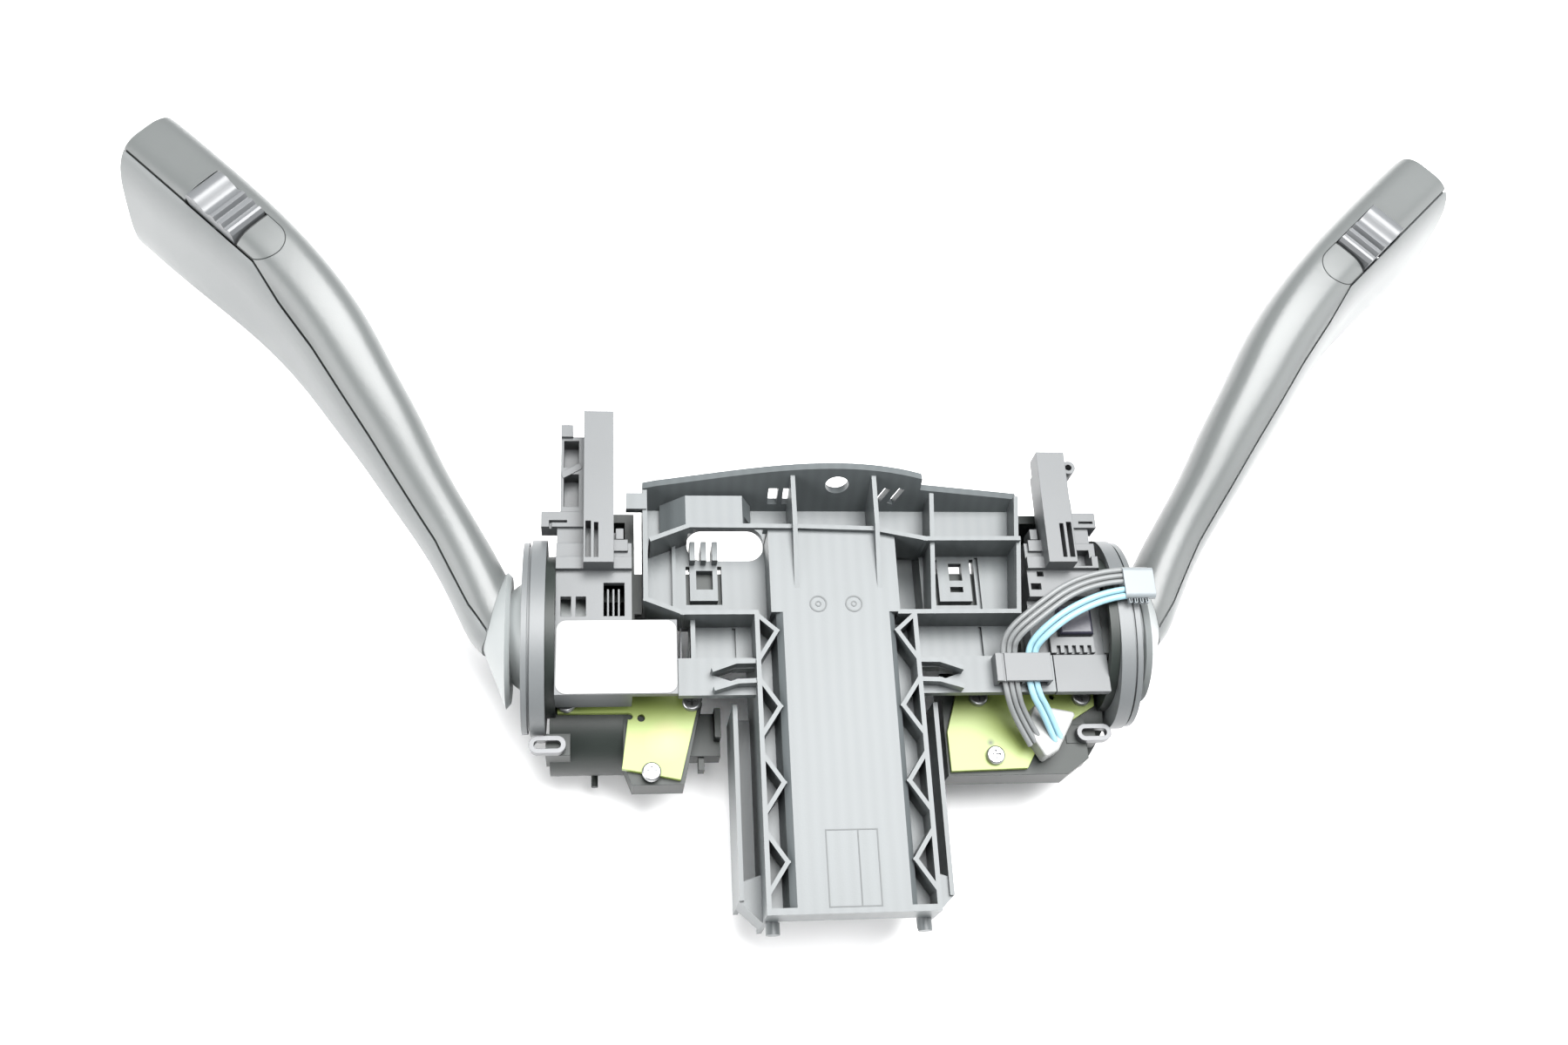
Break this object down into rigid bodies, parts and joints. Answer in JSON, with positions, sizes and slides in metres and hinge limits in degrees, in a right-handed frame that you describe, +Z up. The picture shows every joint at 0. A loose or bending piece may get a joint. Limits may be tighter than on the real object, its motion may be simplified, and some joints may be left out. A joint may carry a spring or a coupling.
{
  "type": "combination stalk switch",
  "caption": "Steering column switch: ribbed bracket with a truss-sided tongue carrying two side modules, each with a ball-jointed curved stalk and a tip rocker.",
  "frame": {"origin": "middle of the outline at the surface the switch rests on", "axes": "+X across the column towards the right stalk, +Y along the column towards the steering wheel, +Z up from the resting surface"},
  "size_m": [0.3844, 0.2172, 0.0708],
  "materials": {
    "grey_plastic": "satin",
    "stalk_plastic": "satin",
    "rocker_plastic": "satin",
    "dark_plastic": "matte",
    "board_green": "satin",
    "steel": "satin",
    "acetal": "satin",
    "label_paper": "matte",
    "plug_white": "satin",
    "lead_blue": "satin",
    "lead_grey": "satin"
  },
  "bodies": {
    "base": {"blue_leads": "lead_blue", "cable_clip": "grey_plastic", "column_bracket": "grey_plastic", "grey_leads": "lead_grey", "label": "label_paper", "lead_sleeve": "plug_white", "left_board": "board_green", "left_board_screws": "steel", "left_collar": "grey_plastic", "left_cover": "grey_plastic", "left_housing": "grey_plastic", "left_retaining_loop": "steel", "left_tongue_side": "grey_plastic", "pin_header": "plug_white", "plug": "plug_white", "right_board": "board_green", "right_board_screws": "steel", "right_collar": "grey_plastic", "right_cover": "grey_plastic", "right_housing": "grey_plastic", "right_retaining_loop": "steel", "right_tongue_side": "grey_plastic", "sensor": "dark_plastic", "tongue_plate": "grey_plastic"},
    "left_carrier_body": {"left_carrier": "acetal", "left_lever_pin": "steel", "left_detent_spring": "steel"},
    "left_plunger_body": {"left_detent_plunger": "acetal"},
    "left_lever_body": {"left_lever_root": "acetal", "left_stalk_front": "stalk_plastic", "left_stalk_rear": "stalk_plastic", "left_tip_insert": "rocker_plastic", "left_rocker_pin": "steel"},
    "left_rocker_body": {"left_rocker": "rocker_plastic"},
    "right_carrier_body": {"right_carrier": "acetal", "right_lever_pin": "steel", "right_detent_spring": "steel"},
    "right_plunger_body": {"right_detent_plunger": "acetal"},
    "right_lever_body": {"right_lever_root": "acetal", "right_stalk_front": "stalk_plastic", "right_stalk_rear": "stalk_plastic", "right_tip_insert": "rocker_plastic", "right_rocker_pin": "steel"},
    "right_rocker_body": {"right_rocker": "rocker_plastic"}
  },
  "joints": [
    {"name": "left_turn", "type": "hinge", "parent": "base", "child": "left_carrier_body", "pos_m": [-0.072, -0.0292, 0.03], "axis": [0, 1, 0], "range_deg": [-8, 8]},
    {"name": "left_pull", "type": "hinge", "parent": "left_carrier_body", "child": "left_lever_body", "pos_m": [-0.072, -0.0292, 0.03], "axis": [0, 0, -1], "range_deg": [-3, 5], "stiffness_Nm_per_rad": 0.6},
    {"name": "left_detent", "type": "slide", "parent": "left_carrier_body", "child": "left_plunger_body", "axis": [-1, 0, 0], "range_m": [0, 0.0006], "stiffness_N_per_m": 400},
    {"name": "left_rocker_tilt", "type": "hinge", "parent": "left_lever_body", "child": "left_rocker_body", "pos_m": [-0.159, 0.07791, 0.0628], "axis": [0.682, 0.7314, 0], "range_deg": [-5, 5], "stiffness_Nm_per_rad": 0.15},
    {"name": "right_turn", "type": "hinge", "parent": "base", "child": "right_carrier_body", "pos_m": [0.072, -0.0292, 0.03], "axis": [0, 1, 0], "range_deg": [-8, 8]},
    {"name": "right_pull", "type": "hinge", "parent": "right_carrier_body", "child": "right_lever_body", "pos_m": [0.072, -0.0292, 0.03], "axis": [0, 0, 1], "range_deg": [-3, 5], "stiffness_Nm_per_rad": 0.6},
    {"name": "right_detent", "type": "slide", "parent": "right_carrier_body", "child": "right_plunger_body", "axis": [1, 0, 0], "range_m": [0, 0.0006], "stiffness_N_per_m": 400},
    {"name": "right_rocker_tilt", "type": "hinge", "parent": "right_lever_body", "child": "right_rocker_body", "pos_m": [0.159, 0.07791, 0.0628], "axis": [-0.682, 0.7314, 0], "range_deg": [-5, 5], "stiffness_Nm_per_rad": 0.15}
  ]
}
